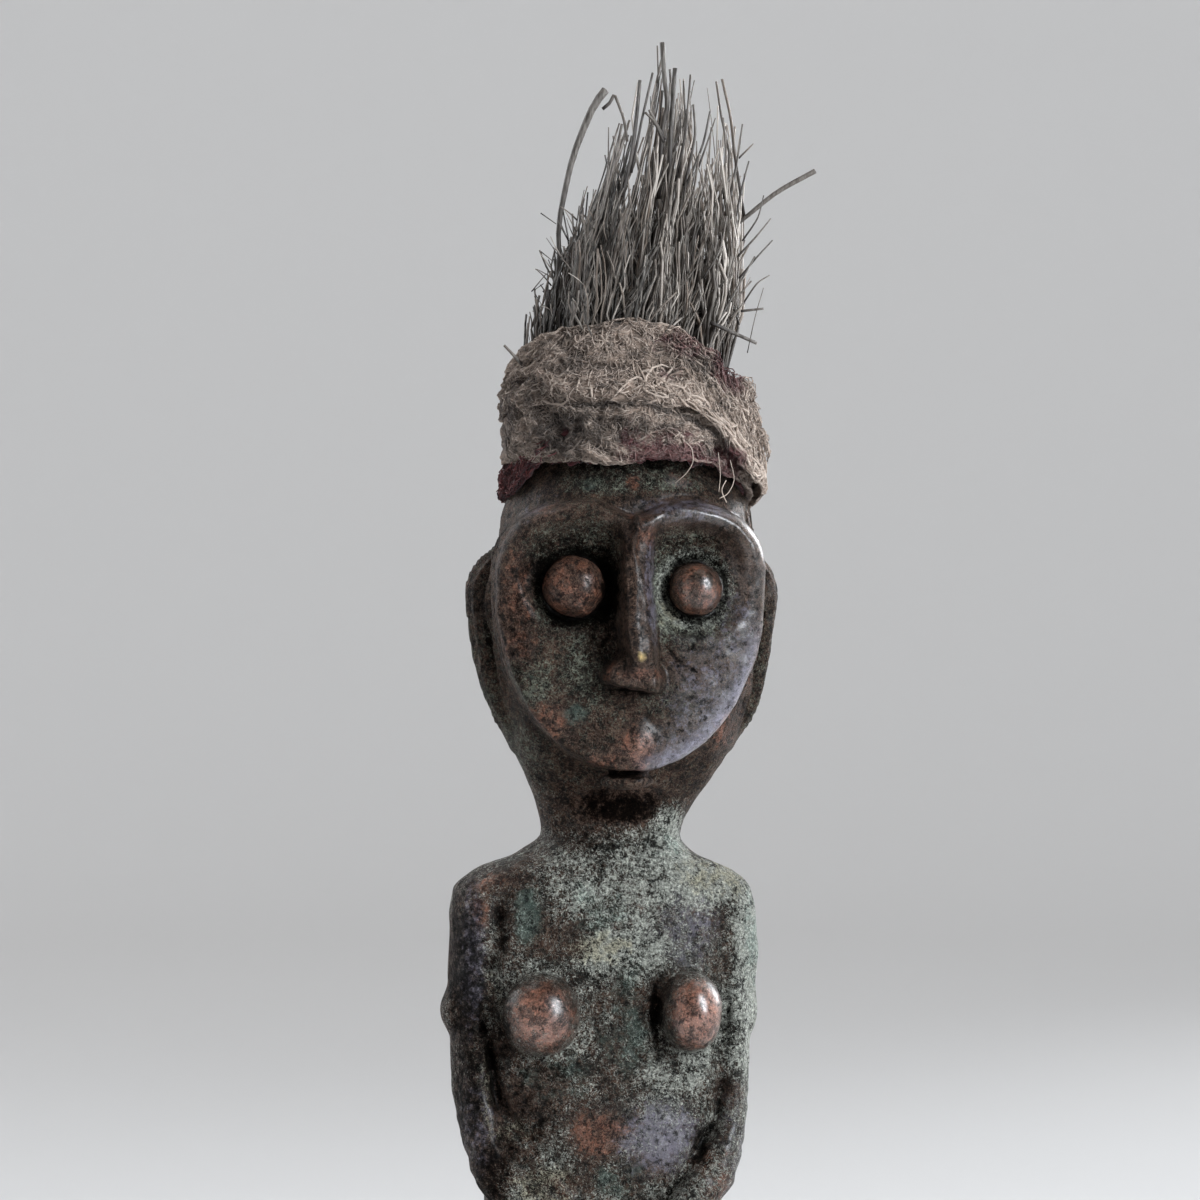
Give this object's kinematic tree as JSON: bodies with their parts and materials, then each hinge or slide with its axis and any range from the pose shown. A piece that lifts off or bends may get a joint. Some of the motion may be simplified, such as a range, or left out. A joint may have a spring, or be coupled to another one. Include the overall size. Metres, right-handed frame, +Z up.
{
  "type": "cast bronze figure",
  "caption": "Small standing cast bronze figure with a flat mask-like face and ball eyes, a low base, and a palm fibre tuft bound to its crown by wound cloth.",
  "frame": {"origin": "centre of the base's underside", "axes": "+Z up along the figure, -Y the way the figure faces, +X to the figure's left"},
  "size_m": [0.0472, 0.036, 0.197],
  "materials": {
    "bronze": "old cast bronze: dark brown satin patina, grey-green crust in the hollows, copper-red where worn",
    "red_cloth": "faded dark red cotton, felted and frayed",
    "grey_cloth": "grey-brown cotton strip, matted with dust and fluff",
    "palm_fibre": "stiff weathered palm fibre, dull grey-brown"
  },
  "bodies": {
    "root": {"bronze_figure": "bronze", "red_cloth_band": "red_cloth", "grey_cloth_wrap": "grey_cloth", "palm_fibre_tuft": "palm_fibre"}
  },
  "joints": []
}
